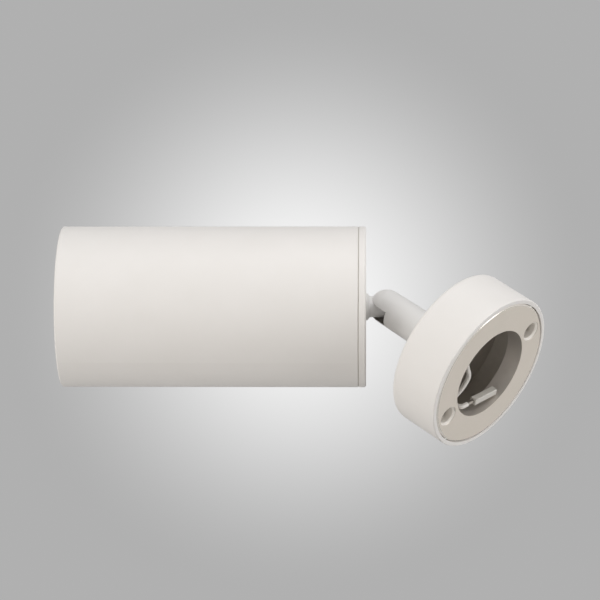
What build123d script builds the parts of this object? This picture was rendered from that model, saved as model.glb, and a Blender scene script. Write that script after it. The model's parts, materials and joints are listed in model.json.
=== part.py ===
"""Surface mounted ceiling spotlight: a round canopy, a swivelling stem and a tilting cylinder head.

Millimetres, +Z up towards the ceiling. The origin is the centre of the mounting plate's ceiling face,
so the whole object hangs below Z = 0. The stem turns about Z. The head tilts about a pivot that runs
along Y, and points straight down at a tilt of 0 and towards +X at 90 degrees.
Head pieces are drawn hanging straight down below a pivot at (0, 0, 0), then tilted and lowered.
"""

import os
from math import cos, radians, sin, tan

from build123d import *

# --- fits and clearances -------------------------------------------------------------------------
FIT = 0.05  # radial clearance of a fixed spigot, screw or shank in its hole
RUNNING_FIT = 0.06  # radial clearance of a shaft that turns in its hole
SIDE_PLAY = 0.1  # between the tongue and each cheek of the fork
LOOSE = 0.3  # between pieces of two bodies that pass close to each other

# --- canopy and mounting plate -------------------------------------------------------------------
CANOPY_R = 30.4
CANOPY_HEIGHT = 20.6
CANOPY_WALL = 1.6
CANOPY_FLOOR = 2.2
CANOPY_EDGE_R = 1.8
CANOPY_RIM_R = 0.4
LEDGE_WIDTH = 1.4
PLATE_GAP = 0.35
PLATE_THICKNESS = 3.4
PLATE_CHAMFER = 0.6
PLATE_BAND = 10.75  # from the plate's edge in to the cable entry
COLLAR_DEPTH = 6.8
COLLAR_WALL = 1.5
PLATE_HOLE_INSET = 5.3  # from the cable entry out to the screw holes' centres
PLATE_HOLE_R = 3.2
PLATE_HOLE_CHAMFER = 0.8
PLATE_HOLE_ANGLE = 14.0
SIDE_SCREW_R = 1.25
SIDE_SCREW_ANGLE = 38.0
SIDE_SCREW_DEPTH = 1.5
SIDE_SCREW_SOCKET = 1.3
SIDE_SCREW_INSET = 0.4

# --- stem, with the fork at its foot -------------------------------------------------------------
PIVOT_DROP = 30.5  # from the canopy's underside to the tilt pivot
FORK_R = 6.5
STEM_TOP_R = 6.85
FORK_SLOT = 5.9
FORK_SLOT_SHIFT = 0.65  # the slot is nearer the blind cheek
FORK_SLOT_FLOOR = 4.3
STEM_BORE_R = 2.5
STEM_SHANK_R = 5.0
SHANK_END = 0.8  # how far a threaded shank stands past its nut
FRICTION_WASHER_R = 8.4
FRICTION_WASHER_THICKNESS = 0.6
STOP_WASHER_THICKNESS = 1.0
STOP_TAB_REACH = 11.6
STOP_TAB_WIDTH = 2.4
STOP_PIN_R = 1.0
STOP_PIN_CIRCLE_R = 10.4
STEM_NUT_FLATS = 14.0
STEM_NUT_HEIGHT = 3.0
PIVOT_SCREW_R = 1.5
PIVOT_HEAD_R = 2.75
PIVOT_HEAD_HEIGHT = 1.5
PIVOT_HEAD_SEAT = 4.0  # from the stem's middle plane to the seat under the head
PIVOT_SOCKET = 2.0
PIVOT_THREAD_DEPTH = 2.0

# --- head ----------------------------------------------------------------------------------------
TILT = 43.4  # degrees from straight down, as it is set in the rest pose
HEAD_R = 30.0
HEAD_WALL = 2.0
HEAD_LENGTH = 113.3
CAP_DROP = 7.8  # from the pivot to the rear cap's outer face
CAP_THICKNESS = 2.8
CAP_SPIGOT_LENGTH = 6.0
CAP_SPIGOT_WALL = 2.5
CAP_EDGE_R = 0.5
SEAM_CHAMFER = 0.3
FRONT_EDGE = 0.4
TONGUE_R = 4.0
TONGUE_LENGTH = 6.45
FLANGE_R = 5.0
FLANGE_RIM = 0.5
KNUCKLE_SHANK_R = 4.0
KNUCKLE_NUT_FLATS = 13.0
KNUCKLE_NUT_HEIGHT = 4.0
LOCK_WASHER_R = 7.2
LOCK_WASHER_THICKNESS = 0.8
LOCK_WASHER_TEETH = 10

# --- lampholder and its bracket ------------------------------------------------------------------
LAMP_RECESS = 19.0  # from the head's front rim back to the lamp's face
LAMP_LENGTH = 47.0  # from the lamp's face back to the shoulder of its base
HOLDER_R = 12.5
HOLDER_HEIGHT = 18.0
HOLDER_FACE = 3.0
HOLDER_CAVITY_R = 9.5
HOLDER_COVER_THICKNESS = 2.0
HOLDER_EAR_R = 3.4
HOLDER_SCREW_SPREAD = 14.0
SMALL_SCREW_R = 1.5
SMALL_HEAD_R = 2.75
SMALL_HEAD_HEIGHT = 1.8
BRACKET_THICKNESS = 1.4
BRACKET_WIDTH = 14.0
BRACKET_SPREAD = 19.0
BRACKET_FOOT = 9.0
BRACKET_CABLE_HOLE_R = 6.0
PIN_SPREAD = 5.0
PIN_NECK_R = 1.5
PIN_HEAD_R = 2.45
PIN_HEAD_HEIGHT = 2.4
PIN_LENGTH = 6.0
LOCK_TURN = 20.0  # degrees from the lamp's entry holes to its locked place
CONTACT_THICKNESS = 0.6
CONTACT_WIDTH = 4.0
CONTACT_LENGTH = 9.0
HEAD_LEAD_R = 0.6
HEAD_LEAD_SPREAD = 3.0
HEAD_LEAD_IN_BORE = 1.2
SLEEVE_WALL = 0.35
SLEEVE_LENGTH = 7.0

# --- lamp ----------------------------------------------------------------------------------------
LAMP_R = 25.0
LAMP_WALL = 1.6
LAMP_RIM = 5.0
LAMP_BASE_R = 10.2
LAMP_BASE_HEIGHT = 11.0
LAMP_NECK_R = 12.0
LENS_THICKNESS = 2.0

# --- front ring ----------------------------------------------------------------------------------
RING_SET_BACK = 0.8
RING_SKIRT_LENGTH = 8.0
RING_WALL = 1.3
RING_LIP = 1.5  # from the ring's outside in to its mouth
RING_THROAT_INSET = 1.8  # from the lamp's edge in to the ring's throat
RING_THROAT_GAP = 1.0
GRIP_R = 0.9  # the depth of the grip's groove, and half its width

# --- supply lead in the canopy -------------------------------------------------------------------
LEAD_R = 0.9
LEAD_ROUTE = [
    (0.0, 0.0, -23.0),
    (0.0, 0.0, -11.6),
    (2.7, 1.2, -8.6),
    (1.9, 5.2, -8.0),
    (4.9, 8.6, -8.0),
    (9.0, 10.6, -8.2),
    (11.8, 11.9, -8.8),
]
LEAD_TAIL = 3.4
FERRULE_LENGTH = 3.2
FERRULE_R = 0.7
CONNECTOR_LENGTH = 11.4
CONNECTOR_WIDTH = 2.6
CONNECTOR_EDGE_R = 0.35
CONNECTOR_MOUTH = (5.0, 12.9, -3.3)
CONNECTOR_AIM = (-11.0, 2.2, 0.5)

# --- places worked out from the sizes above ------------------------------------------------------
CANOPY_FOOT = -CANOPY_HEIGHT
FLOOR_TOP = CANOPY_FOOT + CANOPY_FLOOR
PIVOT_Z = CANOPY_FOOT - PIVOT_DROP
PLATE_POCKET_R = CANOPY_R - CANOPY_WALL
PLATE_R = PLATE_POCKET_R - PLATE_GAP
CABLE_ENTRY_R = PLATE_R - PLATE_BAND
PLATE_HOLE_CIRCLE_R = CABLE_ENTRY_R + PLATE_HOLE_INSET
CANOPY_CAVITY_R = PLATE_POCKET_R - LEDGE_WIDTH
SIDE_SCREW_Z = -PLATE_THICKNESS / 2
STOP_WASHER_FOOT = FLOOR_TOP + FRICTION_WASHER_THICKNESS
STEM_NUT_FOOT = STOP_WASHER_FOOT + STOP_WASHER_THICKNESS
STEM_NUT_TOP = STEM_NUT_FOOT + STEM_NUT_HEIGHT
TONGUE_THICKNESS = FORK_SLOT - 2 * SIDE_PLAY

TUBE_BORE_R = HEAD_R - HEAD_WALL
CAP_FACE = -CAP_DROP
CAP_SEAT = CAP_FACE - CAP_THICKNESS
HEAD_FRONT = CAP_FACE - HEAD_LENGTH
KNUCKLE_NUT_SEAT = CAP_SEAT - LOCK_WASHER_THICKNESS
KNUCKLE_END = KNUCKLE_NUT_SEAT - KNUCKLE_NUT_HEIGHT - SHANK_END
LAMP_FACE = HEAD_FRONT + LAMP_RECESS
LAMP_SHOULDER = LAMP_FACE + LAMP_LENGTH
HOLDER_BACK = LAMP_SHOULDER + HOLDER_HEIGHT
BRACKET_TOP = HOLDER_BACK + BRACKET_THICKNESS
RING_FRONT = HEAD_FRONT + RING_SET_BACK
RING_THROAT = LAMP_FACE - RING_THROAT_GAP
RING_R = TUBE_BORE_R - 2 * FIT
RING_MOUTH_R = RING_R - RING_LIP
RING_THROAT_R = LAMP_R - RING_THROAT_INSET
GRIP_Z = RING_FRONT + RING_SKIRT_LENGTH / 2


def disc(radius, top, foot, x=0.0, y=0.0):
    """A cylinder along Z between two heights."""
    return Pos(x, y, (top + foot) / 2) * Cylinder(radius, top - foot)


def washer(outer_r, inner_r, top, foot, x=0.0, y=0.0):
    return disc(outer_r, top, foot, x, y) - disc(inner_r, top + 1, foot - 1, x, y)


def block(x_size, y_size, top, foot, x=0.0, y=0.0):
    """A box between two heights, centred on (x, y)."""
    return Pos(x, y, (top + foot) / 2) * Box(x_size, y_size, top - foot)


def turned(*profile):
    """A piece turned about Z from (radius, height) points."""
    return revolve(make_face(Plane.XZ * Polyline(*profile, close=True)), Axis.Z)


def hex_bar(flats, top, foot):
    section = RegularPolygon(flats / 2, 6, major_radius=False)
    return Pos(0, 0, foot) * extrude(section, top - foot)


def around(angle, radius):
    """The (x, y) of a point on a circle about Z."""
    return radius * cos(radians(angle)), radius * sin(radians(angle))


def aimed(piece):
    """Tilts a head piece about the pivot and lowers it to the fork."""
    return Pos(0, 0, PIVOT_Z) * Rot(0, -TILT, 0) * piece


def socket_screw(shank_r, shank_length, head_r, head_height, socket):
    """A socket screw that points down from a seat at Z = 0."""
    body = disc(shank_r, 0, -shank_length) + disc(head_r, head_height, 0)
    return body - hex_bar(socket, head_height + 1, head_height - socket / 2)


# --- canopy --------------------------------------------------------------------------------------
def side_screw_place(angle):
    """Where a side screw's axis meets the canopy's outside, with +Z pointing outwards."""
    x, y = around(angle, CANOPY_R)
    return Location(Plane(origin=(x, y, SIDE_SCREW_Z), z_dir=(x, y, 0)))


def side_screw_angles():
    return [SIDE_SCREW_ANGLE, SIDE_SCREW_ANGLE + 180]


def make_canopy():
    shell = disc(CANOPY_R, 0, CANOPY_FOOT)
    shell = fillet(shell.edges().group_by(Axis.Z)[0], CANOPY_EDGE_R)
    shell = fillet(shell.edges().group_by(Axis.Z)[-1], CANOPY_RIM_R)
    shell -= disc(PLATE_POCKET_R, 1, -PLATE_THICKNESS)
    shell -= disc(CANOPY_CAVITY_R, -PLATE_THICKNESS, FLOOR_TOP)
    shell -= disc(STEM_SHANK_R + RUNNING_FIT, FLOOR_TOP + 1, CANOPY_FOOT - 1)
    pin_x, pin_y = around(180, STOP_PIN_CIRCLE_R)
    shell -= disc(STOP_PIN_R, FLOOR_TOP + 1, FLOOR_TOP - CANOPY_FLOOR / 2, pin_x, pin_y)
    for angle in side_screw_angles():
        shell -= side_screw_place(angle) * Cylinder(SIDE_SCREW_R + FIT, 2 * CANOPY_WALL + 1)
    return shell


def plate_holes():
    """Both ceiling screw holes, with their chamfered mouths, as one cutting shape."""
    mouth_r = PLATE_HOLE_R + PLATE_HOLE_CHAMFER
    cutters = []
    for angle in (PLATE_HOLE_ANGLE, PLATE_HOLE_ANGLE + 180):
        x, y = around(angle, PLATE_HOLE_CIRCLE_R)
        mouth = Cone(PLATE_HOLE_R, mouth_r, PLATE_HOLE_CHAMFER)
        cutters.append(disc(PLATE_HOLE_R, 1, -PLATE_THICKNESS - 1, x, y))
        cutters.append(Pos(x, y, -PLATE_HOLE_CHAMFER / 2) * mouth)
    return cutters


def make_mounting_plate():
    collar_r = CABLE_ENTRY_R + COLLAR_WALL
    plate = turned(
        (CABLE_ENTRY_R, 0),
        (PLATE_R - PLATE_CHAMFER, 0),
        (PLATE_R, -PLATE_CHAMFER),
        (PLATE_R, -PLATE_THICKNESS),
        (collar_r, -PLATE_THICKNESS),
        (collar_r, -COLLAR_DEPTH),
        (CABLE_ENTRY_R, -COLLAR_DEPTH),
    )
    for cutter in plate_holes():
        plate -= cutter
    dimple = 2 * (PLATE_GAP + CANOPY_WALL + SIDE_SCREW_DEPTH + FIT)
    for angle in side_screw_angles():
        plate -= side_screw_place(angle) * Cylinder(SIDE_SCREW_R + FIT, dimple)
    return plate


def make_side_screws():
    """Two grub screws through the canopy's wall into the plate's edge."""
    length = CANOPY_WALL + PLATE_GAP + SIDE_SCREW_DEPTH - SIDE_SCREW_INSET
    screws = []
    for angle in side_screw_angles():
        grub = disc(SIDE_SCREW_R, 0, -length)
        grub -= hex_bar(SIDE_SCREW_SOCKET, 1, -SIDE_SCREW_SOCKET)
        screws.append(side_screw_place(angle) * Pos(0, 0, -SIDE_SCREW_INSET) * grub)
    return screws


def make_stop_pin():
    x, y = around(180, STOP_PIN_CIRCLE_R)
    foot = FLOOR_TOP - CANOPY_FLOOR / 2
    return disc(STOP_PIN_R, STEM_NUT_FOOT, foot, x, y)


# --- supply lead ---------------------------------------------------------------------------------
def corner_radii(route):
    """The largest tangent arcs that the runs on each side of every corner allow."""
    points = [Vector(*point) for point in route]
    radii = []
    for before, corner, after in zip(points, points[1:], points[2:]):
        turn = (corner - before).get_angle(after - corner)
        shorter = min((corner - before).length, (after - corner).length)
        radii.append(0.45 * shorter / tan(radians(turn / 2)))
    return radii


def tube_along(route, radius):
    """A solid round tube on straight runs joined by tangent arcs."""
    radii = corner_radii(route)
    print("lead radii", [round(value, 2) for value in radii])
    path = FilletPolyline(*route, radius=radii)
    tube = sweep(Plane(origin=path @ 0, z_dir=path % 0) * Circle(radius), path=path)
    ideal = Circle(radius).area * path.length
    print("lead volume", round(tube.volume, 2), "section by length", round(ideal, 2))
    return tube


def connector_point(along):
    """A point on the connector's axis, measured from its mouth towards its closed end."""
    place = Vector(*CONNECTOR_MOUTH) + Vector(*CONNECTOR_AIM).normalized() * along
    return place.X, place.Y, place.Z


def connector_bar(start, length, section):
    """A straight bar on the connector's axis, with the section's X level."""
    aim = Vector(*CONNECTOR_AIM)
    plane = Plane(origin=connector_point(start), x_dir=aim.cross(Vector(0, 0, 1)), z_dir=aim)
    return extrude(plane * section, length)


def make_supply_lead():
    """Out of the stem's bore, once round below the collar and back in line with the connector."""
    tail = [connector_point(-FERRULE_LENGTH - LEAD_TAIL), connector_point(-FERRULE_LENGTH)]
    return tube_along(LEAD_ROUTE + tail, LEAD_R)


def make_lead_ferrule():
    """The bare crimped end of the lead, which runs up to the connector's mouth."""
    return connector_bar(-FERRULE_LENGTH, FERRULE_LENGTH, Circle(FERRULE_R))


def make_connector():
    """A square bar with rounded edges."""
    section = RectangleRounded(CONNECTOR_WIDTH, CONNECTOR_WIDTH, CONNECTOR_EDGE_R)
    return connector_bar(0, CONNECTOR_LENGTH, section)


# --- stem ----------------------------------------------------------------------------------------
def pivot_cylinder(radius, near_y, far_y):
    """A cylinder along the pivot between two places on Y, about a pivot at the origin."""
    return Pos(0, (near_y + far_y) / 2, 0) * Rot(90, 0, 0) * Cylinder(radius, far_y - near_y)


def make_stem_fork():
    shank_end = PIVOT_DROP + STEM_NUT_TOP + SHANK_END - CANOPY_FOOT
    stem = turned((0, 0), (FORK_R, 0), (STEM_TOP_R, PIVOT_DROP), (0, PIVOT_DROP))
    stem += Sphere(FORK_R)
    stem += disc(STEM_SHANK_R, shank_end, PIVOT_DROP)
    stem -= disc(STEM_BORE_R, shank_end + 1, 0)
    stem -= block(4 * FORK_R, FORK_SLOT, FORK_SLOT_FLOOR, -2 * FORK_R, 0, -FORK_SLOT_SHIFT)
    slot_near = -FORK_SLOT_SHIFT - FORK_SLOT / 2
    stem -= pivot_cylinder(PIVOT_SCREW_R + FIT, slot_near - PIVOT_THREAD_DEPTH - FIT, FORK_R)
    stem -= pivot_cylinder(PIVOT_HEAD_R + FIT, PIVOT_HEAD_SEAT, 2 * FORK_R)
    return Pos(0, 0, PIVOT_Z) * stem


def make_pivot_screw():
    slot_near = -FORK_SLOT_SHIFT - FORK_SLOT / 2
    length = PIVOT_HEAD_SEAT - slot_near + PIVOT_THREAD_DEPTH
    screw = socket_screw(PIVOT_SCREW_R, length, PIVOT_HEAD_R, PIVOT_HEAD_HEIGHT, PIVOT_SOCKET)
    return Pos(0, PIVOT_HEAD_SEAT, PIVOT_Z) * Rot(-90, 0, 0) * screw


def make_friction_washer():
    return washer(FRICTION_WASHER_R, STEM_SHANK_R + FIT, STOP_WASHER_FOOT, FLOOR_TOP)


def make_stop_washer():
    """Turns with the stem; its tab meets the stop pin at each end of the swivel."""
    tab = block(STOP_TAB_REACH, STOP_TAB_WIDTH, STEM_NUT_FOOT, STOP_WASHER_FOOT, STOP_TAB_REACH / 2)
    plain = disc(STEM_NUT_FLATS / 2, STEM_NUT_FOOT, STOP_WASHER_FOOT) + tab
    return plain - disc(STEM_SHANK_R + FIT, STEM_NUT_FOOT + 1, STOP_WASHER_FOOT - 1)


def make_stem_nut():
    bore = disc(STEM_SHANK_R + FIT, STEM_NUT_TOP + 1, STEM_NUT_FOOT - 1)
    return hex_bar(STEM_NUT_FLATS, STEM_NUT_TOP, STEM_NUT_FOOT) - bore


# --- head shell ----------------------------------------------------------------------------------
def make_knuckle():
    """A round-ended tongue with two flats, a flange on the cap and a hollow threaded shank."""
    rod = Sphere(TONGUE_R) + disc(TONGUE_R, 0, -TONGUE_LENGTH)
    flats = block(2 * TONGUE_R, TONGUE_THICKNESS, TONGUE_R, -TONGUE_LENGTH, 0, -FORK_SLOT_SHIFT)
    knuckle = rod & flats
    knuckle += turned(
        (0, -TONGUE_LENGTH),
        (TONGUE_R, -TONGUE_LENGTH),
        (FLANGE_R, CAP_FACE + FLANGE_RIM),
        (FLANGE_R, CAP_FACE),
        (KNUCKLE_SHANK_R, CAP_FACE),
        (KNUCKLE_SHANK_R, KNUCKLE_END),
        (0, KNUCKLE_END),
    )
    knuckle -= disc(STEM_BORE_R, 2 * TONGUE_R, KNUCKLE_END - 1)
    knuckle -= pivot_cylinder(PIVOT_SCREW_R + RUNNING_FIT, -FORK_R, FORK_R)
    return aimed(knuckle)


def make_lock_washer():
    """A toothed washer between the cap and the knuckle's nut."""
    plain = washer(LOCK_WASHER_R, KNUCKLE_SHANK_R + FIT, CAP_SEAT, KNUCKLE_NUT_SEAT)
    gap_size = LOCK_WASHER_R - KNUCKLE_NUT_FLATS / 2
    for tooth in range(LOCK_WASHER_TEETH):
        x, y = around(360 * tooth / LOCK_WASHER_TEETH, LOCK_WASHER_R)
        plain -= disc(gap_size, CAP_SEAT + 1, KNUCKLE_NUT_SEAT - 1, x, y)
    return aimed(plain)


def make_knuckle_nut():
    foot = KNUCKLE_NUT_SEAT - KNUCKLE_NUT_HEIGHT
    bore = disc(KNUCKLE_SHANK_R + FIT, KNUCKLE_NUT_SEAT + 1, foot - 1)
    return aimed(hex_bar(KNUCKLE_NUT_FLATS, KNUCKLE_NUT_SEAT, foot) - bore)


def make_rear_cap():
    """A disc as wide as the tube, with a spigot that goes into the tube's bore."""
    spigot_r = TUBE_BORE_R - FIT
    hollow_r = spigot_r - CAP_SPIGOT_WALL
    spigot_end = CAP_SEAT - CAP_SPIGOT_LENGTH
    cap = turned(
        (KNUCKLE_SHANK_R + FIT, CAP_FACE),
        (HEAD_R - CAP_EDGE_R, CAP_FACE),
        (HEAD_R, CAP_FACE - CAP_EDGE_R),
        (HEAD_R, CAP_SEAT + SEAM_CHAMFER),
        (HEAD_R - SEAM_CHAMFER, CAP_SEAT),
        (spigot_r, CAP_SEAT),
        (spigot_r, spigot_end),
        (hollow_r, spigot_end),
        (hollow_r, CAP_SEAT),
        (KNUCKLE_SHANK_R + FIT, CAP_SEAT),
    )
    for x in bracket_screw_places():
        cap -= disc(SMALL_SCREW_R, CAP_SEAT + CAP_THICKNESS / 2, CAP_SEAT - 1, x)
    return aimed(cap)


def make_body_tube():
    return aimed(
        turned(
            (TUBE_BORE_R, CAP_SEAT),
            (HEAD_R - SEAM_CHAMFER, CAP_SEAT),
            (HEAD_R, CAP_SEAT - SEAM_CHAMFER),
            (HEAD_R, HEAD_FRONT + FRONT_EDGE),
            (HEAD_R - FRONT_EDGE, HEAD_FRONT),
            (TUBE_BORE_R, HEAD_FRONT),
        )
    )


# --- lampholder ----------------------------------------------------------------------------------
def bracket_screw_places():
    """Where the bracket's feet are screwed to the cap, along X."""
    middle = BRACKET_SPREAD + BRACKET_THICKNESS - BRACKET_FOOT / 2
    return [-middle, middle]


def holder_screw_places():
    return [-HOLDER_SCREW_SPREAD, HOLDER_SCREW_SPREAD]


def make_bracket():
    """A strap bent to a bridge, with two feet turned in under it against the cap."""
    foot_top = CAP_SEAT
    foot_low = CAP_SEAT - BRACKET_THICKNESS
    span = 2 * (BRACKET_SPREAD + BRACKET_THICKNESS)
    bracket = block(span, BRACKET_WIDTH, BRACKET_TOP, HOLDER_BACK)
    for side in (-1, 1):
        leg_x = side * (BRACKET_SPREAD + BRACKET_THICKNESS / 2)
        foot_x = side * (BRACKET_SPREAD + BRACKET_THICKNESS - BRACKET_FOOT / 2)
        bracket += block(BRACKET_THICKNESS, BRACKET_WIDTH, foot_top, HOLDER_BACK, leg_x)
        bracket += block(BRACKET_FOOT, BRACKET_WIDTH, foot_top, foot_low, foot_x)
    bracket -= disc(BRACKET_CABLE_HOLE_R, BRACKET_TOP + 1, HOLDER_BACK - 1)
    for x in bracket_screw_places():
        bracket -= disc(SMALL_SCREW_R + FIT, foot_top + 1, foot_low - 1, x)
    for x in holder_screw_places():
        bracket -= disc(SMALL_SCREW_R + FIT, BRACKET_TOP + 1, HOLDER_BACK - 1, x)
    return aimed(bracket)


def make_bracket_screws():
    """Screws through the bracket's feet into blind threads in the cap."""
    length = BRACKET_THICKNESS + CAP_THICKNESS / 2 - FIT
    screws = []
    for x in bracket_screw_places():
        screw = socket_screw(SMALL_SCREW_R - FIT, length, SMALL_HEAD_R, SMALL_HEAD_HEIGHT, PIVOT_SOCKET)
        seat = Pos(x, 0, CAP_SEAT - BRACKET_THICKNESS) * Rot(180, 0, 0)
        screws.append(aimed(seat * screw))
    return screws


def lock_slot(locked_angle, top, foot):
    """The arc slot that a pin's neck sweeps through from its locked place, as a cutting shape."""
    centres = CenterArc((0, 0), PIN_SPREAD, locked_angle - LOCK_TURN, LOCK_TURN)
    return Pos(0, 0, foot) * extrude(SlotArc(centres, 2 * (PIN_NECK_R + LOOSE)), top - foot)


def make_lampholder():
    """The ceramic holder: a face with two keyhole slots over a cavity, and an ear on each side."""
    face_inside = LAMP_SHOULDER + HOLDER_FACE
    holder = disc(HOLDER_R, HOLDER_BACK, LAMP_SHOULDER)
    for x in holder_screw_places():
        holder += disc(HOLDER_EAR_R, HOLDER_BACK, LAMP_SHOULDER, x)
    holder -= disc(HOLDER_CAVITY_R, HOLDER_BACK + 1, face_inside)
    for locked in (0, 180):
        x, y = around(locked - LOCK_TURN, PIN_SPREAD)
        holder -= lock_slot(locked, face_inside + 1, LAMP_SHOULDER - 1)
        holder -= disc(PIN_HEAD_R + LOOSE, face_inside + 1, LAMP_SHOULDER - 1, x, y)
    for x in holder_screw_places():
        holder -= disc(SMALL_SCREW_R + FIT, HOLDER_BACK + 1, LAMP_SHOULDER - 1, x)
        holder -= disc(SMALL_HEAD_R + FIT, LAMP_SHOULDER + SMALL_HEAD_HEIGHT + FIT, LAMP_SHOULDER - 1, x)
    return aimed(holder)


def make_holder_cover():
    """The disc that closes the holder's back, with a hole for each lead."""
    cover = disc(HOLDER_CAVITY_R - FIT, HOLDER_BACK, HOLDER_BACK - HOLDER_COVER_THICKNESS)
    for x in (-HEAD_LEAD_SPREAD, HEAD_LEAD_SPREAD):
        cover -= disc(HEAD_LEAD_R + FIT, HOLDER_BACK + 1, HOLDER_BACK - HOLDER_COVER_THICKNESS - 1, x)
    return aimed(cover)


def make_holder_screws():
    """Screws from the holder's face through its ears and the bracket."""
    length = HOLDER_HEIGHT - SMALL_HEAD_HEIGHT + BRACKET_THICKNESS + SHANK_END
    screws = []
    for x in holder_screw_places():
        screw = socket_screw(SMALL_SCREW_R, length, SMALL_HEAD_R, SMALL_HEAD_HEIGHT - FIT, PIVOT_SOCKET)
        seat = Pos(x, 0, LAMP_SHOULDER + SMALL_HEAD_HEIGHT) * Rot(180, 0, 0)
        screws.append(aimed(seat * screw))
    return screws


def make_contacts():
    """Two spring strips that stand on the cover beside the lamp's pins."""
    inner_x = PIN_SPREAD + PIN_HEAD_R + LOOSE
    root = HOLDER_BACK - HOLDER_COVER_THICKNESS
    strips = []
    for side in (-1, 1):
        x = side * (inner_x + CONTACT_THICKNESS / 2)
        strips.append(aimed(block(CONTACT_THICKNESS, CONTACT_WIDTH, root, root - CONTACT_LENGTH, x)))
    return strips


def head_lead_route(side):
    """From the holder's cover, across behind the bracket and up the knuckle's bore."""
    return [
        (side * HEAD_LEAD_SPREAD, 0, HOLDER_BACK - HOLDER_COVER_THICKNESS),
        (side * HEAD_LEAD_SPREAD, 0, BRACKET_TOP + SLEEVE_LENGTH),
        (side * HEAD_LEAD_IN_BORE, 0, KNUCKLE_END - SLEEVE_LENGTH / 2),
        (side * HEAD_LEAD_IN_BORE, 0, -PIVOT_SCREW_R - 1),
    ]


def make_head_leads():
    return [aimed(tube_along(head_lead_route(side), HEAD_LEAD_R)) for side in (-1, 1)]


def make_lead_sleeves():
    """Heat-resistant sleeving over the straight part of each lead behind the holder."""
    sleeves = []
    for side in (-1, 1):
        inner_r = HEAD_LEAD_R + FIT
        top = HOLDER_BACK + SLEEVE_LENGTH - BRACKET_THICKNESS
        tube = washer(inner_r + SLEEVE_WALL, inner_r, top, HOLDER_BACK, side * HEAD_LEAD_SPREAD)
        sleeves.append(aimed(tube))
    return sleeves


# --- lamp ----------------------------------------------------------------------------------------
def make_lamp_base():
    return aimed(disc(LAMP_BASE_R, LAMP_SHOULDER, LAMP_SHOULDER - LAMP_BASE_HEIGHT))


def make_lamp_pins():
    """Two headed pins that pass the holder's face and lock behind it."""
    pins = []
    for angle in (0, 180):
        x, y = around(angle, PIN_SPREAD)
        top = LAMP_SHOULDER + PIN_LENGTH
        neck = disc(PIN_NECK_R, top, LAMP_SHOULDER, x, y)
        pins.append(aimed(neck + disc(PIN_HEAD_R, top, top - PIN_HEAD_HEIGHT, x, y)))
    return pins


def make_lamp_reflector():
    """The lamp's bowl, from the base's end out to the rim that holds the lens."""
    back = LAMP_SHOULDER - LAMP_BASE_HEIGHT
    rim_back = LAMP_FACE + LAMP_RIM
    middle_r = (LAMP_R + LAMP_NECK_R) / 2 + LAMP_WALL
    middle_z = (back + rim_back) / 2 + LAMP_WALL
    outside = ThreePointArc((LAMP_NECK_R, back), (middle_r, middle_z), (LAMP_R, rim_back))
    inside = ThreePointArc(
        (LAMP_R - LAMP_WALL, rim_back),
        (middle_r - LAMP_WALL, middle_z - LAMP_WALL),
        (LAMP_NECK_R - LAMP_WALL, back - LAMP_WALL),
    )
    outline = [
        outside,
        Polyline(outside @ 1, (LAMP_R, LAMP_FACE), (LAMP_R - LAMP_WALL, LAMP_FACE), inside @ 0),
        inside,
        Polyline(inside @ 1, (0, back - LAMP_WALL), (0, back), outside @ 0),
    ]
    return aimed(revolve(make_face(Plane.XZ * Curve(children=outline)), Axis.Z))


def make_lamp_lens():
    return aimed(disc(LAMP_R - LAMP_WALL - FIT, LAMP_FACE + LENS_THICKNESS, LAMP_FACE))


# --- front ring ----------------------------------------------------------------------------------
def make_front_ring():
    """An anti-glare funnel on a skirt that pushes into the tube, with a groove for its grip."""
    groove_r = RING_R - GRIP_R
    skirt_back = RING_FRONT + RING_SKIRT_LENGTH
    return aimed(
        turned(
            (RING_MOUTH_R, RING_FRONT),
            (RING_R, RING_FRONT),
            (RING_R, GRIP_Z - GRIP_R),
            (groove_r, GRIP_Z - GRIP_R),
            (groove_r, GRIP_Z + GRIP_R),
            (RING_R, GRIP_Z + GRIP_R),
            (RING_R, skirt_back),
            (groove_r, skirt_back),
            (RING_THROAT_R + RING_WALL, RING_THROAT),
            (RING_THROAT_R, RING_THROAT),
        )
    )


def make_ring_grip():
    """A flat rubber band in the ring's groove that holds the ring in the tube."""
    half = GRIP_R - FIT
    return aimed(washer(RING_R, RING_R - half, GRIP_Z + half, GRIP_Z - half))


def save(name, *solids):
    """Writes one piece, or a group of like pieces, to its own file."""
    shape = solids[0] if len(solids) == 1 else Compound(children=list(solids))
    export_step(shape, f"parts/{name}.step")


def main():
    os.makedirs("parts", exist_ok=True)
    save("ceiling_canopy", make_canopy())
    save("mounting_plate", make_mounting_plate())
    save("side_screws", *make_side_screws())
    save("stop_pin", make_stop_pin())
    save("supply_lead", make_supply_lead())
    save("lead_ferrule", make_lead_ferrule())
    save("lead_connector", make_connector())
    save("stem_fork", make_stem_fork())
    save("pivot_screw", make_pivot_screw())
    save("friction_washer", make_friction_washer())
    save("stop_washer", make_stop_washer())
    save("stem_nut", make_stem_nut())
    save("knuckle", make_knuckle())
    save("lock_washer", make_lock_washer())
    save("knuckle_nut", make_knuckle_nut())
    save("rear_cap", make_rear_cap())
    save("body_tube", make_body_tube())
    save("holder_bracket", make_bracket())
    save("bracket_screws", *make_bracket_screws())
    save("lampholder", make_lampholder())
    save("holder_cover", make_holder_cover())
    save("holder_screws", *make_holder_screws())
    save("holder_contacts", *make_contacts())
    save("head_leads", *make_head_leads())
    save("lead_sleeves", *make_lead_sleeves())
    save("lamp_base", make_lamp_base())
    save("lamp_pins", *make_lamp_pins())
    save("lamp_reflector", make_lamp_reflector())
    save("lamp_lens", make_lamp_lens())
    save("front_ring", make_front_ring())
    save("ring_grip", make_ring_grip())


main()
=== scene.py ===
"""Looks of a surface mounted ceiling spotlight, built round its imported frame.

Metres throughout. +Z is up to the ceiling, and the origin is the centre of the mounting plate's
ceiling face. The head's axis passes through the tilt pivot, which runs along Y.
"""

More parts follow.
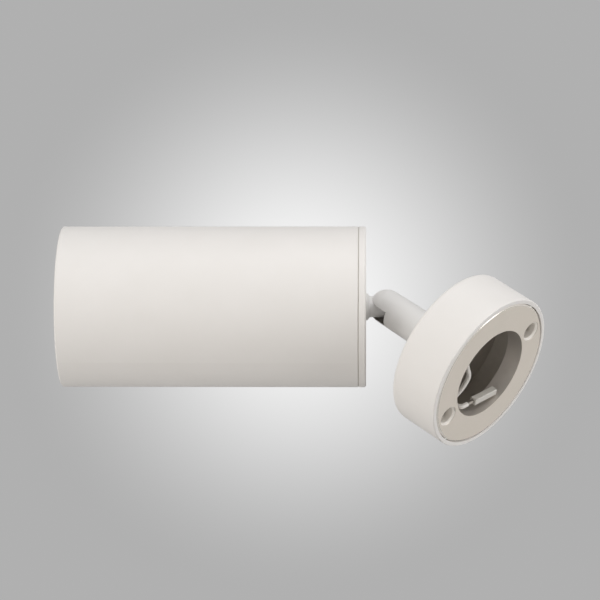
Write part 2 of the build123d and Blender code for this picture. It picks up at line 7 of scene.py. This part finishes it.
import json
from math import cos, pi, radians, sin

import bmesh
import bpy
from mathutils import Matrix, Vector


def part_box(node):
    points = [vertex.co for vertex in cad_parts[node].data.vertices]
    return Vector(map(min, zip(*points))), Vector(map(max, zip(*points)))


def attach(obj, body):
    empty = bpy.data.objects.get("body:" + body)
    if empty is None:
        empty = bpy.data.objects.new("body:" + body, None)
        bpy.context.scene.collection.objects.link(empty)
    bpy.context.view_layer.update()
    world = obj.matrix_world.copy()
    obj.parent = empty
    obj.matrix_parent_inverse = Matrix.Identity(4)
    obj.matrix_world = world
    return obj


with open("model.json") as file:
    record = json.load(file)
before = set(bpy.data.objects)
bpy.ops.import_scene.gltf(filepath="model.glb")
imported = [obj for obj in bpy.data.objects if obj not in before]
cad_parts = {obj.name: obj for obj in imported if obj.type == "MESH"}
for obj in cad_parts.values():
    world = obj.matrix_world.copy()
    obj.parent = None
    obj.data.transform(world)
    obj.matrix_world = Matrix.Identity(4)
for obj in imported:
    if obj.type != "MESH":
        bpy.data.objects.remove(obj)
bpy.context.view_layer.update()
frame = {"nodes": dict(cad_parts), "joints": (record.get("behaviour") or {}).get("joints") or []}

# --- the photograph's view -----------------------------------------------------------------------
PHOTO_PIXELS = 600
FOCAL_PIXELS = 2501.4
SENSOR_WIDTH = 36.0  # millimetres, as Blender's cameras count it
CAMERA_PLACE = Vector((0.49696, -0.64398, 0.40872))
CAMERA_AZIMUTH = 36.543
CAMERA_ELEVATION = 31.230
CAMERA_ROLL = 123.55  # the part was photographed lying on its side
CAMERA_CLIP = (0.05, 30)

# --- the set -------------------------------------------------------------------------------------
OBJECT_CENTRE = Vector((0.03, 0.0, -0.07))
FLOOR_Z = -1.7
FLOOR_SIZE = 9.0
BACKDROP_DISTANCE = 3.1  # from the camera
BACKDROP_SIZE = 2.4
GLOW_PIXELS = 300  # the pool of light on the backdrop is as wide as the photograph
GLOW_CENTRE = 0.98  # display brightness at its centre
GLOW_EDGE = 0.685  # display brightness of the plain set round it
DISPLAY_GAMMA = 2.2
PLAIN = (GLOW_EDGE**DISPLAY_GAMMA,) * 3 + (1,)  # the plain set's colour as light
FLOOR_PAINT = (0.6, 0.6, 0.6, 1)  # what the floor gives back to the object
AMBIENT = 0.22
AMBIENT_COLOUR = (1.0, 0.97, 0.92, 1.0)
WHITE = (1, 1, 1)
WARM = (1.0, 0.975, 0.935)
LAMPS = (
    # name, direction as the photograph shows it (right, up, nearer), metres away, metres wide, watts
    ("key", (0.3, 0.9, 0.3), 1.5, 1.2, 12.5, WHITE),
    ("upper_left", (-0.5, 0.6, 0.62), 1.5, 0.8, 2.4, WHITE),
    ("left", (-0.8, -0.35, 0.55), 1.5, 1.0, 2.2, WARM),
    ("wide_left", (-0.7, -0.25, 0.65), 1.5, 2.5, 19.3, WARM),
    ("right", (0.95, -0.2, 0.25), 1.5, 1.0, 6.4, WHITE),
    ("behind_right", (0.739, -0.49, -0.463), 1.3, 1.4, 2.1, WHITE),
    ("edge", (0.838, 0.305, 0.453), 1.5, 0.6, 3.0, WHITE),
)

# --- sizes of the object, from the frame ---------------------------------------------------------
MM = 0.001
JOINTS = {joint["name"]: joint for joint in frame["joints"]}
PIVOT = Vector(JOINTS["tilt"]["pos_m"])
HEAD_AXIS = Vector(JOINTS["ring_pull"]["axis"]).normalized()  # from the pivot to the light's mouth
HEAD_PLACE = Matrix.Translation(PIVOT) @ HEAD_AXIS.to_track_quat("Z", "Y").to_matrix().to_4x4()


def reach(node):
    """Where a head piece starts and ends along the head's axis from the pivot, and its radius."""
    offsets = [vertex.co - PIVOT for vertex in frame["nodes"][node].data.vertices]
    along = [offset.dot(HEAD_AXIS) for offset in offsets]
    radii = [(offset - HEAD_AXIS * share).length for offset, share in zip(offsets, along)]
    return min(along), max(along), max(radii)


PLATE_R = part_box("mounting_plate")[1][0]
SEAM = reach("body_tube")[0]
BOWL_BACK = reach("lamp_reflector")[0]
LENS_BACK, _, LENS_R = reach("lamp_lens")


# --- node helpers --------------------------------------------------------------------------------
class Shader:
    """A material's node tree with short calls for what the materials below are made of."""

    def __init__(self, name):
        self.material = bpy.data.materials.new(name)
        self.material.use_nodes = True
        self.nodes = self.material.node_tree.nodes
        self.links = self.material.node_tree.links
        self.nodes.clear()
        self.output = self.nodes.new("ShaderNodeOutputMaterial")

    def add(self, kind, inputs=None, **settings):
        """A node with its settings, and with its inputs linked from sockets or set to values."""
        node = self.nodes.new(kind)
        for key, value in settings.items():
            setattr(node, key, value)
        for key, value in (inputs or {}).items():
            self.feed(node.inputs[key], value)
        return node

    def feed(self, socket, value):
        if isinstance(value, bpy.types.NodeSocket):
            self.links.new(value, socket)
        else:
            socket.default_value = value

    def place(self):
        """The row frame's coordinates, in metres."""
        return self.add("ShaderNodeTexCoord").outputs["Object"]

    def height(self):
        """The height above the ceiling face, which is negative on the object."""
        return self.add("ShaderNodeSeparateXYZ", {0: self.place()}).outputs["Z"]

    def math(self, operation, *values):
        return self.add("ShaderNodeMath", dict(enumerate(values)), operation=operation).outputs[0]

    def noise(self, size, detail=2.0, roughness=0.5):
        """Noise whose lumps are about `size` metres across, from 0 to 1 about 0.5."""
        inputs = {"Vector": self.place(), "Scale": 1 / size, "Detail": detail, "Roughness": roughness}
        return self.add("ShaderNodeTexNoise", inputs).outputs["Fac"]

    def spread(self, value, low, high, smooth=False):
        """A value of 0 to 1 put between two others."""
        kind = "SMOOTHSTEP" if smooth else "LINEAR"
        inputs = {"Value": value, "To Min": low, "To Max": high}
        return self.add("ShaderNodeMapRange", inputs, interpolation_type=kind).outputs["Result"]

    def ramp(self, value, start, end):
        """Goes from 0 to 1 as the value goes from start to end."""
        inputs = {"Value": value, "From Min": start, "From Max": end}
        return self.add("ShaderNodeMapRange", inputs).outputs["Result"]

    def blend(self, share, first, second):
        """The second colour over the first by a share."""
        node = self.add("ShaderNodeMix", data_type="RGBA")
        self.feed(node.inputs[0], share)
        self.feed(node.inputs[6], first)
        self.feed(node.inputs[7], second)
        return node.outputs[2]

    def bump(self, height, depth):
        """A bump where the height of 0 to 1 stands `depth` metres high."""
        inputs = {"Height": height, "Distance": depth, "Strength": 1.0}
        return self.add("ShaderNodeBump", inputs).outputs["Normal"]

    def radius(self):
        """The distance from the swivel axis."""
        inputs = {"Vector": self.place(), "Scale": (1, 1, 0)}
        flat = self.add("ShaderNodeMapping", inputs).outputs["Vector"]
        return self.add("ShaderNodeVectorMath", {0: flat}, operation="LENGTH").outputs["Value"]

    def principled(self, colour, **inputs):
        """The finished material, whose other inputs are named with _ for each space."""
        node = self.add("ShaderNodeBsdfPrincipled")
        self.feed(node.inputs["Base Color"], colour)
        for key, value in inputs.items():
            self.feed(node.inputs[key.replace("_", " ")], value)
        self.links.new(node.outputs["BSDF"], self.output.inputs["Surface"])
        return self.material


def rgb(red, green, blue):
    """A colour from display values of 0 to 255."""
    return tuple(((channel / 255 + 0.055) / 1.055) ** 2.4 for channel in (red, green, blue)) + (1.0,)


def dimmed(colour, share):
    """A share of a colour's light."""
    return tuple(share * channel for channel in colour[:3]) + (1.0,)


# --- materials -----------------------------------------------------------------------------------
COAT_SHADES = (rgb(235, 232, 229), rgb(240, 237, 235))
JOINT_SHADES = (rgb(225, 224, 223), rgb(230, 229, 228))
COAT_PATCH = 14 * MM  # the size of the coat's faint patches of shade
COAT_SHEEN_PATCH = 3 * MM
COAT_GRAIN = 0.45 * MM
COAT_GRAIN_DEPTH = 0.012 * MM

SEAM_SHADE_FULL = 0.1 * MM  # from the seam to where the painted shade is full
SEAM_SHADE_END = 0.26 * MM  # from the seam to where the painted shade ends

# The fork's slot, whose inside gets painted shade
SLOT_SHIFT = -0.65 * MM  # the fork's slot is off the stem's middle plane
SLOT_HALF = 2.95 * MM  # half its width
SLOT_FLOOR = 4.3 * MM  # above the tilt pivot
SLOT_MARGIN = 0.04 * MM

CAVITY_R = 27.6 * MM  # just outside the wall of the canopy's cavity
CAVITY_FLOOR = -18.6 * MM  # just under its floor

LATHE_RING = 0.12 * MM
TURNED_PATCH = 16 * MM
TURNED_SHEEN_PATCH = 6 * MM
PLATE_FACE_FOOT = -0.15 * MM  # what is lower in the plate is bored or drilled
COLLAR_CLEAR_R = 19.5 * MM  # what is low and further out is a screw hole or the plate's edge, whose walls get painted light
PLATE_CHAMFER = 0.6 * MM  # round the plate's edge, which carries a painted highlight

FINE_RELIEF = 0.004 * MM  # the depth of lathe rings, plating and moulded grain


def coat_parts(shader, shades):
    """Colour, roughness and normal of the fine matt powder coat."""
    colour = shader.blend(shader.noise(COAT_PATCH, detail=3.0), *shades)
    rough = shader.spread(shader.noise(COAT_SHEEN_PATCH, detail=4.0), 0.44, 0.56)
    normal = shader.bump(shader.noise(COAT_GRAIN, detail=3.0, roughness=0.6), COAT_GRAIN_DEPTH)
    return colour, rough, normal


def powder_coat():
    """The head's coat, with painted shade darkening the seam between the tube and its cap."""
    shader = Shader("powder_coat")
    colour, rough, normal = coat_parts(shader, COAT_SHADES)
    offset = shader.add("ShaderNodeVectorMath", {0: shader.place(), 1: PIVOT}, operation="SUBTRACT")
    inputs = {0: offset.outputs["Vector"], 1: HEAD_AXIS}
    along = shader.add("ShaderNodeVectorMath", inputs, operation="DOT_PRODUCT").outputs["Value"]
    # Painted shade: the colour darkens in the seam's groove, where shade falls.
    from_seam = shader.math("ABSOLUTE", shader.math("SUBTRACT", along, SEAM))
    bare_and_shaded = shader.ramp(from_seam, SEAM_SHADE_END, SEAM_SHADE_FULL)
    colour = shader.blend(bare_and_shaded, colour, rgb(200, 196, 190))
    return shader.principled(colour, Roughness=rough, Normal=normal)


def joint_coat():
    """The knuckle's coat, a shade greyer than the head and the canopy, as the stem's is."""
    shader = Shader("joint_coat")
    colour, rough, normal = coat_parts(shader, JOINT_SHADES)
    return shader.principled(colour, Roughness=rough, Normal=normal)


def fork_coat():
    """The stem's coat, with painted shade on the inside of the slot for the tongue."""
    shader = Shader("fork_coat")
    colour, rough, normal = coat_parts(shader, JOINT_SHADES)
    # Painted shade: the inside of the slot is coloured dark grey, where shade falls.
    place = shader.add("ShaderNodeSeparateXYZ", {0: shader.place()}).outputs
    from_middle = shader.math("ABSOLUTE", shader.math("SUBTRACT", place["Y"], SLOT_SHIFT))
    between = shader.math("LESS_THAN", from_middle, SLOT_HALF + SLOT_MARGIN)
    below = shader.math("LESS_THAN", place["Z"], PIVOT.z + SLOT_FLOOR + SLOT_MARGIN)
    bare_and_shaded = shader.math("MULTIPLY", between, below)
    casting_and_shade = shader.blend(shader.noise(1 * MM, detail=4.0), rgb(84, 81, 77), rgb(104, 100, 95))
    return shader.principled(shader.blend(bare_and_shaded, colour, casting_and_shade), Roughness=rough, Normal=normal)


def canopy_coat():
    """The powder coat outside, and the unpainted cast metal that is left inside."""
    shader = Shader("canopy_coat")
    colour, rough, normal = coat_parts(shader, COAT_SHADES)
    inside = shader.math("LESS_THAN", shader.radius(), CAVITY_R)
    above = shader.math("GREATER_THAN", shader.height(), CAVITY_FLOOR)
    bare_and_shaded = shader.math("MULTIPLY", inside, above)
    casting_and_shade = shader.blend(shader.noise(2 * MM, detail=5.0), rgb(186, 180, 172), rgb(202, 196, 188))
    return shader.principled(shader.blend(bare_and_shaded, colour, casting_and_shade), Roughness=rough, Normal=normal)


def turned_aluminium():
    """Satin aluminium with fine lathe rings, a painted highlight on the chamfer and painted light on the
    pale, non-metal walls of its holes and outer edge.
    """
    shader = Shader("turned_aluminium")
    radius = shader.radius()
    inputs = {"W": radius, "Scale": 1 / LATHE_RING, "Detail": 3.0}
    rings = shader.add("ShaderNodeTexNoise", inputs, noise_dimensions="1D").outputs["Fac"]
    # Painted light: the walls of the screw holes, the plate's outer wall and the chamfer's foot are pale
    # and not metal, so they read as lit.
    below_face = shader.math("LESS_THAN", shader.height(), PLATE_FACE_FOOT)
    outside_collar = shader.math("GREATER_THAN", radius, COLLAR_CLEAR_R)
    painted_light_walls = shader.math("MULTIPLY", below_face, outside_collar)
    dull = shader.blend(rings, rgb(200, 193, 181), rgb(211, 204, 193))
    bright = shader.blend(rings, rgb(208, 199, 189), rgb(221, 212, 202))
    turned = shader.blend(shader.noise(TURNED_PATCH, detail=3.0), dull, bright)
    bored = shader.blend(below_face, turned, rgb(216, 210, 204))
    # Painted highlight: the chamfer's colour is lighter than the turned face.
    chamfer = shader.math("GREATER_THAN", radius, PLATE_R - PLATE_CHAMFER)
    edge_highlight = shader.blend(chamfer, bored, rgb(246, 242, 235))
    colour = shader.blend(painted_light_walls, edge_highlight, rgb(249, 244, 237))
    metal = shader.spread(painted_light_walls, 0.75, 0.0)
    satin = shader.spread(shader.noise(TURNED_SHEEN_PATCH, detail=4.0), 0.38, 0.48)
    rough = shader.math("MULTIPLY_ADD", chamfer, -0.2, satin)
    normal = shader.bump(rings, FINE_RELIEF)
    return shader.principled(colour, Metallic=metal, Roughness=rough, Normal=normal)


def plated_metal(name, colour, rough):
    """Plated or bare metal with fine darker patches."""
    shader = Shader(name)
    patches = shader.noise(1.5 * MM, detail=5.0, roughness=0.7)
    shade = shader.blend(patches, dimmed(colour, 0.8), colour)
    normal = shader.bump(shader.noise(0.3 * MM, detail=3.0), FINE_RELIEF)
    roughness = shader.spread(patches, rough - 0.06, rough + 0.1)
    return shader.principled(shade, Metallic=1.0, Roughness=roughness, Normal=normal)


def moulded(name, colour, rough):
    """Moulded plastic, silicone, rubber or ceramic with a faint grain."""
    shader = Shader(name)
    patches = shader.noise(2.5 * MM, detail=4.0)
    shade = shader.blend(patches, dimmed(colour, 0.94), colour)
    normal = shader.bump(shader.noise(0.25 * MM), FINE_RELIEF)
    roughness = shader.spread(patches, rough - 0.04, rough + 0.05)
    return shader.principled(shade, Roughness=roughness, Normal=normal)


def lens_glass():
    """Clear glass that is very slightly hazy in places."""
    shader = Shader("lens_glass")
    clear = (0.97, 0.98, 0.98, 1.0)
    rough = shader.spread(shader.noise(4 * MM, detail=3.0), 0.0, 0.03)
    return shader.principled(clear, Roughness=rough, IOR=1.5, Transmission_Weight=1.0)


MATERIALS = {
    "coat": powder_coat(),
    "joint_coat": joint_coat(),
    "fork_coat": fork_coat(),
    "canopy": canopy_coat(),
    "plate": turned_aluminium(),
    "steel": plated_metal("zinc_plated_steel", rgb(206, 205, 200), 0.32),
    "strap": plated_metal("pressed_steel", rgb(200, 200, 198), 0.4),
    "nylon": moulded("natural_nylon", rgb(228, 225, 214), 0.45),
    "insulation": moulded("silicone_insulation", rgb(240, 236, 230), 0.45),
    "crimp": plated_metal("tinned_crimp", rgb(150, 144, 136), 0.42),
    "connector": moulded("connector_shell", rgb(217, 213, 206), 0.4),
    "ceramic": moulded("ceramic", rgb(236, 233, 226), 0.5),
    "contact": plated_metal("contact_bronze", rgb(214, 178, 122), 0.3),
    "lamp_body": moulded("lamp_body", rgb(232, 231, 228), 0.4),
    "lamp_pin": plated_metal("nickel_pin", rgb(222, 216, 205), 0.25),
    "lens": lens_glass(),
    "ring": moulded("matt_ring", rgb(236, 233, 228), 0.5),
    "grip": moulded("grip_rubber", rgb(52, 51, 50), 0.6),
    "sleeving": moulded("sleeving", rgb(226, 220, 205), 0.7),
    "mirror": plated_metal("mirror_facets", rgb(238, 238, 236), 0.14),
    "board": moulded("chip_board", rgb(234, 234, 230), 0.35),
    "phosphor": moulded("phosphor", rgb(236, 198, 84), 0.4),
    "solder": plated_metal("solder", rgb(214, 212, 206), 0.3),
}

FINISHES = {
    "ceiling_canopy": "canopy",
    "mounting_plate": "plate",
    "side_screws": "steel",
    "stop_pin": "steel",
    "supply_lead": "insulation",
    "lead_ferrule": "crimp",
    "lead_connector": "connector",
    "stem_fork": "fork_coat",
    "pivot_screw": "steel",
    "friction_washer": "nylon",
    "stop_washer": "steel",
    "stem_nut": "steel",
    "knuckle": "joint_coat",
    "lock_washer": "steel",
    "knuckle_nut": "steel",
    "rear_cap": "coat",
    "body_tube": "coat",
    "holder_bracket": "strap",
    "bracket_screws": "steel",
    "lampholder": "ceramic",
    "holder_cover": "ceramic",
    "holder_screws": "steel",
    "holder_contacts": "contact",
    "head_leads": "insulation",
    "lead_sleeves": "sleeving",
    "lamp_base": "lamp_body",
    "lamp_pins": "lamp_pin",
    "lamp_reflector": "lamp_body",
    "lamp_lens": "lens",
    "front_ring": "ring",
    "ring_grip": "grip",
}


def finish_nodes():
    """Gives every CAD node its material."""
    for node, finish in FINISHES.items():
        mesh = frame["nodes"][node].data
        mesh.materials.clear()
        mesh.materials.append(MATERIALS[finish])


# --- the light source behind the lens ------------------------------------------------------------
FACET_ROWS = 8
FACETS_ROUND = 28
FACET_SHEET = 0.25 * MM
FACET_GAP = 0.5 * MM  # from the mirror's rim in from the lens's edge and back from the lens
MIRROR_CURVE = 0.6  # below 1 the mirror opens fast at its neck, as a bowl does
NECK_GAP = 0.2 * MM  # from the chip board out to the mirror's neck
BOARD_R = 7.6 * MM
BOARD_LIFT = 4.0 * MM  # from the bowl's back to the chip board's face
BOARD_THICKNESS = 1.0 * MM
BOARD_EDGE = 0.15 * MM
DAM_WALL = 0.5 * MM
CHIP_R = 4.6 * MM
CHIP_DOME = 0.5 * MM  # the height of the phosphor's dome, and of the dam round it
PAD_R = 0.8 * MM
PAD_DOME = 0.35 * MM
PAD_SPREAD = 6.1 * MM
CREASE_ANGLE = 35  # degrees, above which a turned edge stays sharp
WELD = 0.001 * MM  # vertices nearer than this are one


def put(name, mesh, material, body, place=HEAD_PLACE):
    """Sets a mesh in its place with its material, on the body that carries it."""
    piece = bpy.data.objects.new(name, mesh)
    piece.matrix_world = place
    bpy.context.scene.collection.objects.link(piece)
    mesh.materials.append(MATERIALS[material])
    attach(piece, body)
    return piece


def make_mesh(name, shape):
    """A faceted mesh from bmesh, which is used up."""
    bmesh.ops.recalc_face_normals(shape, faces=shape.faces)
    mesh = bpy.data.meshes.new(name)
    shape.to_mesh(mesh)
    shape.free()
    return mesh


def turned_mesh(name, profile, steps=72):
    """A closed smooth mesh turned about Z from (radius, height) points, first and last on the axis."""
    shape = bmesh.new()
    points = [shape.verts.new((radius, 0, height)) for radius, height in profile]
    edges = [shape.edges.new(pair) for pair in zip(points, points[1:])]
    axis = (0, 0, 1)
    bmesh.ops.spin(shape, geom=points + edges, cent=(0, 0, 0), axis=axis, angle=2 * pi, steps=steps)
    bmesh.ops.remove_doubles(shape, verts=shape.verts, dist=WELD)
    mesh = make_mesh(name, shape)
    for face in mesh.polygons:
        face.use_smooth = True
    mesh.set_sharp_from_angle(angle=radians(CREASE_ANGLE))
    return mesh


def dome(radius, height, foot, points=8):
    """The profile of a low dome on a foot height, from its edge to the axis."""
    angles = [pi / 2 * step / points for step in range(points + 1)]
    return [(radius * cos(angle), foot + height * sin(angle)) for angle in angles]


def make_mirror():
    """A pressed mirror of flat facets, in rows set half a facet round from each other."""
    back, front = BOWL_BACK + BOARD_LIFT, LENS_BACK - FACET_GAP
    neck_r, rim_r = BOARD_R + NECK_GAP, LENS_R - FACET_GAP
    shape = bmesh.new()
    rows = []
    for row in range(FACET_ROWS + 1):
        share = row / FACET_ROWS
        radius = neck_r + (rim_r - neck_r) * share**MIRROR_CURVE
        height = back + (front - back) * share
        turns = [2 * pi * (step + row % 2 / 2) / FACETS_ROUND for step in range(FACETS_ROUND)]
        rows.append([shape.verts.new((radius * cos(t), radius * sin(t), height)) for t in turns])
    for row, (low, high) in enumerate(zip(rows, rows[1:])):
        for step in range(FACETS_ROUND):
            after = (step + 1) % FACETS_ROUND
            a, b, c, d = low[step], low[after], high[step], high[after]
            facets = ((a, d, c), (a, b, d)) if row % 2 else ((a, b, c), (b, d, c))
            for facet in facets:
                shape.faces.new(facet)
    mirror = put("lamp_mirror", make_mesh("lamp_mirror", shape), "mirror", "lamp")
    sheet = mirror.modifiers.new("sheet", "SOLIDIFY")
    sheet.thickness = FACET_SHEET
    sheet.offset = 0


def make_chip():
    """A round board with its yellow phosphor and two solder pads, at the mirror's neck."""
    top = BOWL_BACK + BOARD_LIFT
    foot = top - BOARD_THICKNESS
    flat_r = BOARD_R - BOARD_EDGE
    board = [(0, foot), (flat_r, foot), (BOARD_R, foot + BOARD_EDGE)]
    board += [(BOARD_R, top - BOARD_EDGE), (flat_r, top), (0, top)]
    put("chip_board", turned_mesh("chip_board", board), "board", "lamp")
    dam_r = CHIP_R + DAM_WALL
    dam_top, chip_foot = top + CHIP_DOME, top + BOARD_EDGE
    dam = [(0, top), (dam_r, top), (dam_r, dam_top), (CHIP_R, dam_top), (CHIP_R, chip_foot), (0, chip_foot)]
    put("chip_dam", turned_mesh("chip_dam", dam), "board", "lamp")
    phosphor = [(0, chip_foot)] + dome(CHIP_R, CHIP_DOME, chip_foot)
    put("chip_phosphor", turned_mesh("chip_phosphor", phosphor), "phosphor", "lamp")
    for name, side in (("chip_pad_left", -1), ("chip_pad_right", 1)):
        mesh = turned_mesh(name, [(0, top)] + dome(PAD_R, PAD_DOME, top), steps=24)
        place = HEAD_PLACE @ Matrix.Translation((side * PAD_SPREAD, 0, 0))
        put(name, mesh, "solder", "lamp", place)


# --- camera, backdrop and lights -----------------------------------------------------------------
def make_camera():
    """The photograph's camera. Returns its turn, from the photograph's directions to the frame's."""
    data = bpy.data.cameras.new("camera")
    data.sensor_width = SENSOR_WIDTH
    data.lens = FOCAL_PIXELS * SENSOR_WIDTH / PHOTO_PIXELS
    data.clip_start, data.clip_end = CAMERA_CLIP
    camera = bpy.data.objects.new("camera", data)
    bpy.context.scene.collection.objects.link(camera)
    aim = Matrix.Rotation(radians(CAMERA_AZIMUTH), 4, "Z")
    aim @= Matrix.Rotation(radians(90 - CAMERA_ELEVATION), 4, "X")
    aim @= Matrix.Rotation(radians(CAMERA_ROLL), 4, "Z")
    camera.matrix_world = Matrix.Translation(CAMERA_PLACE) @ aim
    bpy.context.scene.camera = camera
    return aim


def seen_directly(shader):
    """1 for what the camera sees, also in metal or through glass, and 0 for light on the object."""
    rays = shader.add("ShaderNodeLightPath").outputs
    mirrored = shader.math("MAXIMUM", rays["Is Glossy Ray"], rays["Is Transmission Ray"])
    return shader.math("MAXIMUM", rays["Is Camera Ray"], mirrored)


def flat_square(name, size, place, material):
    """A stage piece that faces its place's +Z."""
    mesh = bpy.data.meshes.new(name)
    shape = bmesh.new()
    bmesh.ops.create_grid(shape, x_segments=1, y_segments=1, size=size / 2)
    shape.to_mesh(mesh)
    shape.free()
    mesh.materials.append(material)
    square = bpy.data.objects.new(name, mesh)
    square.matrix_world = place
    bpy.context.scene.collection.objects.link(square)


def show_plainly(shader, lit, shown):
    """Gives a stage piece one shader for the light on the object and another for what is seen."""
    inputs = {0: seen_directly(shader), 1: lit.outputs[0], 2: shown.outputs[0]}
    mix = shader.add("ShaderNodeMixShader", inputs)
    shader.links.new(mix.outputs[0], shader.output.inputs["Surface"])


def make_floor():
    shader = Shader("floor_paint")
    paint = shader.add("ShaderNodeBsdfDiffuse", {"Color": FLOOR_PAINT})
    shown = shader.add("ShaderNodeEmission", {"Color": PLAIN})
    show_plainly(shader, paint, shown)
    flat_square("floor", FLOOR_SIZE, Matrix.Translation((0, 0, FLOOR_Z)), shader.material)


def make_backdrop(aim):
    """A paper behind the object, square to the camera, with a round pool of light painted on it."""
    shader = Shader("backdrop_paint")
    glow_r = BACKDROP_DISTANCE * GLOW_PIXELS / FOCAL_PIXELS
    centre = {0: shader.place()}
    distance = shader.add("ShaderNodeVectorMath", centre, operation="LENGTH").outputs["Value"]
    share = shader.ramp(distance, glow_r, 0)
    display = shader.spread(share, GLOW_EDGE, GLOW_CENTRE, smooth=True)
    level = shader.math("POWER", display, DISPLAY_GAMMA)
    shown = shader.add("ShaderNodeEmission", {"Color": level})
    clear = shader.add("ShaderNodeBsdfTransparent")
    show_plainly(shader, clear, shown)
    place = Matrix.Translation(CAMERA_PLACE + aim @ Vector((0, 0, -BACKDROP_DISTANCE))) @ aim
    flat_square("backdrop", BACKDROP_SIZE, place, shader.material)


def make_world():
    """Soft warm light from all round the object, and the plain set's colour where it is seen."""
    world = bpy.data.worlds.new("studio")
    bpy.context.scene.world = world
    world.use_nodes = True
    nodes, links = world.node_tree.nodes, world.node_tree.links
    nodes.clear()
    output = nodes.new("ShaderNodeOutputWorld")
    mix = nodes.new("ShaderNodeMixShader")
    rays = nodes.new("ShaderNodeLightPath")
    mirrored, seen = nodes.new("ShaderNodeMath"), nodes.new("ShaderNodeMath")
    mirrored.operation = seen.operation = "MAXIMUM"
    ambient = nodes.new("ShaderNodeBackground")
    ambient.inputs["Color"].default_value = AMBIENT_COLOUR
    ambient.inputs["Strength"].default_value = AMBIENT
    plain = nodes.new("ShaderNodeBackground")
    plain.inputs["Color"].default_value = PLAIN
    links.new(rays.outputs["Is Glossy Ray"], mirrored.inputs[0])
    links.new(rays.outputs["Is Transmission Ray"], mirrored.inputs[1])
    links.new(rays.outputs["Is Camera Ray"], seen.inputs[0])
    links.new(mirrored.outputs[0], seen.inputs[1])
    links.new(seen.outputs[0], mix.inputs[0])
    links.new(ambient.outputs[0], mix.inputs[1])
    links.new(plain.outputs[0], mix.inputs[2])
    links.new(mix.outputs[0], output.inputs["Surface"])


def make_lamp(name, direction, distance, size, power, colour):
    """A soft square lamp that faces the object from a direction."""
    data = bpy.data.lights.new(name, "AREA")
    data.shape = "SQUARE"
    data.size = size
    data.energy = power
    data.color = colour
    lamp = bpy.data.objects.new(name, data)
    bpy.context.scene.collection.objects.link(lamp)
    away = direction.normalized()
    lamp.location = OBJECT_CENTRE + away * distance
    lamp.rotation_mode = "QUATERNION"
    lamp.rotation_quaternion = away.to_track_quat("Z", "Y")
    lamp.visible_camera = False


def make_lights(aim):
    for name, direction, *settings in LAMPS:
        make_lamp(name, aim @ Vector(direction), *settings)


bpy.context.scene.view_settings.view_transform = "Standard"
AIM = make_camera()
make_world()
make_floor()
make_backdrop(AIM)
make_lights(AIM)
finish_nodes()
make_mirror()
make_chip()
